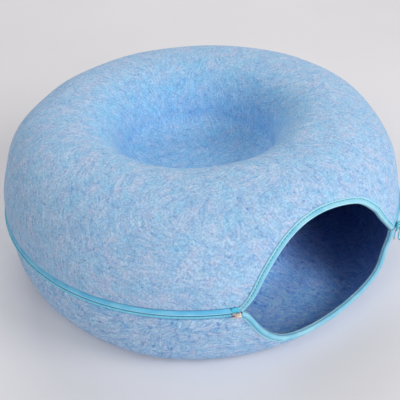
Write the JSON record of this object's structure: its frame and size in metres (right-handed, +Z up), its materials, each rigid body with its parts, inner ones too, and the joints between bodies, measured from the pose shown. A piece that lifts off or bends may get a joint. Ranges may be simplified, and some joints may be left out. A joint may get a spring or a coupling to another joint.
{
  "type": "felt cat cave",
  "caption": "Round felt cat cave: a ring-shaped tunnel with a dished top, a bound entrance cut in its front wall and a zip round its side.",
  "frame": {"origin": "on the floor, in the middle of the cave's bounding box", "axes": "+Z up, the entrance faces -Y, and the zip's slider is on the +X side of the entrance"},
  "size_m": [0.5063, 0.4984, 0.2],
  "materials": {
    "felt": "heathered light blue needled felt, matt, the same on both faces",
    "binding": "light cyan woven tape, slight sheen",
    "zip_tape": "cyan woven zip tape, matt",
    "zip_chain": "cyan nylon coil",
    "slider_paint": "teal enamel",
    "rose_brass": "rose-coloured brass, satin"
  },
  "bodies": {
    "root": {"upper_shell": "felt", "lower_shell": "felt", "upper_binding": "binding", "lower_binding": "binding", "upper_zip_tape": "zip_tape", "lower_zip_tape": "zip_tape", "zip_chain": "zip_chain", "zip_end_box": "rose_brass", "zip_slider": "slider_paint", "zip_pull": "slider_paint", "tape_tail": "zip_tape", "tail_stop": "rose_brass"}
  },
  "joints": []
}
